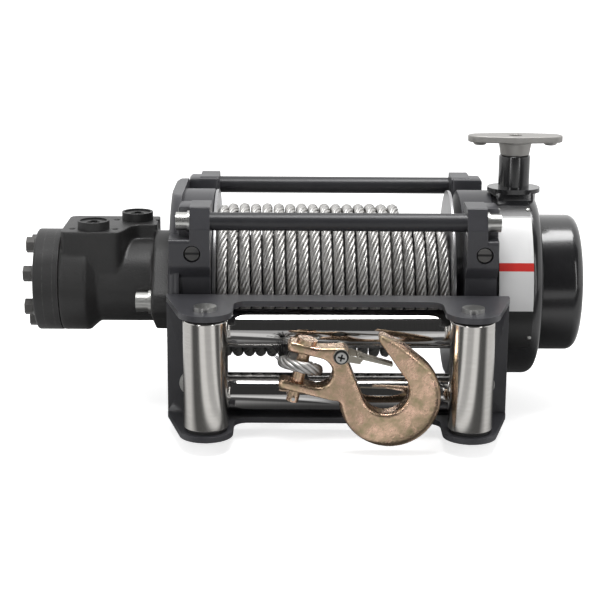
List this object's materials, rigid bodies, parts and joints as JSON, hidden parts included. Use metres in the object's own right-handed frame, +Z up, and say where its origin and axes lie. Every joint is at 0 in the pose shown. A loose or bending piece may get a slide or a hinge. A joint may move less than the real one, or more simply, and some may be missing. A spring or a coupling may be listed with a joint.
{
  "type": "hydraulic winch",
  "caption": "Vehicle recovery winch with a hydraulic motor, wire rope drum, gearbox with clutch shifter, roller fairlead and clevis hook.",
  "frame": {"origin": "middle of the four foot bolts, on the plane that the feet stand on", "axes": "+X along the drum towards the gearbox, -Y the way the rope leaves, +Z up"},
  "size_m": [0.507, 0.283, 0.2451],
  "materials": {
    "dark_paint": "satin dark grey powder coat on cast iron and steel plate",
    "motor_paint": "matte black paint on a sand casting",
    "gloss_black": "glossy black paint",
    "zinc_bolt": "bright zinc plating",
    "motor_bolt": "dull dark plating",
    "port_plug": "moulded plastic transport plug",
    "tie_bar_steel": "satin dark paint",
    "drum_steel": "dark paint, rubbed by the rope",
    "rope_steel": "galvanised steel wire rope",
    "ferrule_alloy": "pressed aluminium",
    "roller_brushed": "turned stainless steel",
    "roller_polished": "polished stainless steel",
    "washer_plastic": "natural nylon",
    "gold_zinc": "yellow zinc plating on a forging",
    "handle_alloy": "die-cast aluminium, lightly polished",
    "label_print": "printed sheet with plain colour bands"
  },
  "bodies": {
    "root": {"motor_support": "dark_paint", "gear_support": "dark_paint", "fairlead_frame": "dark_paint", "fairlead_side_plates": "dark_paint", "motor_body": "motor_paint", "motor_spacer_plate": "motor_paint", "motor_gerotor_ring": "motor_paint", "motor_end_cover": "motor_paint", "ring_gear_housing": "gloss_black", "gear_end_cover": "gloss_black", "clutch_post": "gloss_black", "tie_bar_screws": "zinc_bolt", "motor_flange_bolts": "zinc_bolt", "fairlead_bolts": "zinc_bolt", "mounting_nuts": "zinc_bolt", "cross_roller_pins": "zinc_bolt", "upright_roller_pins": "zinc_bolt", "motor_cover_bolts": "motor_bolt", "motor_port_plug_front": "port_plug", "motor_port_plug_rear": "port_plug", "front_tie_bar": "tie_bar_steel", "rear_tie_bar": "tie_bar_steel", "rope_lead": "rope_steel", "rope_eye": "rope_steel", "rope_ferrule": "ferrule_alloy", "roller_washers": "washer_plastic", "label_plate": "label_print"},
    "drum": {"drum_barrel": "drum_steel", "drum_flange_left": "drum_steel", "drum_flange_right": "drum_steel", "rope_winding": "rope_steel", "rope_lower_layer": "rope_steel"},
    "left_roller": {"vertical_roller_left": "roller_brushed"},
    "right_roller": {"vertical_roller_right": "roller_brushed"},
    "upper_cross_roller": {"upper_roller": "roller_polished"},
    "lower_cross_roller": {"lower_roller": "roller_polished"},
    "clutch_handle": {"shift_handle": "handle_alloy"},
    "hook_assembly": {"hook": "gold_zinc", "clevis_pin": "gold_zinc", "cotter_pin": "zinc_bolt", "latch_screw": "zinc_bolt"},
    "latch": {"hook_latch": "gold_zinc"}
  },
  "joints": [
    {"name": "drum_spin", "type": "hinge", "parent": "root", "child": "drum", "pos_m": [0, 0, 0.111], "axis": [1, 0, 0], "continuous": true},
    {"name": "left_roller_spin", "type": "hinge", "parent": "root", "child": "left_roller", "pos_m": [-0.1125, -0.156, 0.0674], "axis": [0, 0, 1], "continuous": true},
    {"name": "right_roller_spin", "type": "hinge", "parent": "root", "child": "right_roller", "pos_m": [0.1125, -0.156, 0.0674], "axis": [0, 0, 1], "continuous": true},
    {"name": "upper_roller_spin", "type": "hinge", "parent": "root", "child": "upper_cross_roller", "pos_m": [0, -0.116, 0.0964], "axis": [1, 0, 0], "continuous": true},
    {"name": "lower_roller_spin", "type": "hinge", "parent": "root", "child": "lower_cross_roller", "pos_m": [0, -0.116, 0.0384], "axis": [1, 0, 0], "continuous": true},
    {"name": "clutch_turn", "type": "hinge", "parent": "root", "child": "clutch_handle", "pos_m": [0.162, -0.006, 0.231], "axis": [0, 0, 1], "range_deg": [0, 90]},
    {"name": "hook_swing", "type": "hinge", "parent": "root", "child": "hook_assembly", "pos_m": [-0.032, -0.165, 0.0765], "axis": [-0.2334, 0, -0.9724], "range_deg": [0, 90]},
    {"name": "latch_swing", "type": "hinge", "parent": "hook_assembly", "child": "latch", "pos_m": [0.00161, -0.165, 0.08797], "axis": [0, 1, 0], "range_deg": [0, 35], "stiffness_Nm_per_rad": 0.03, "springref_deg": -34.38}
  ]
}
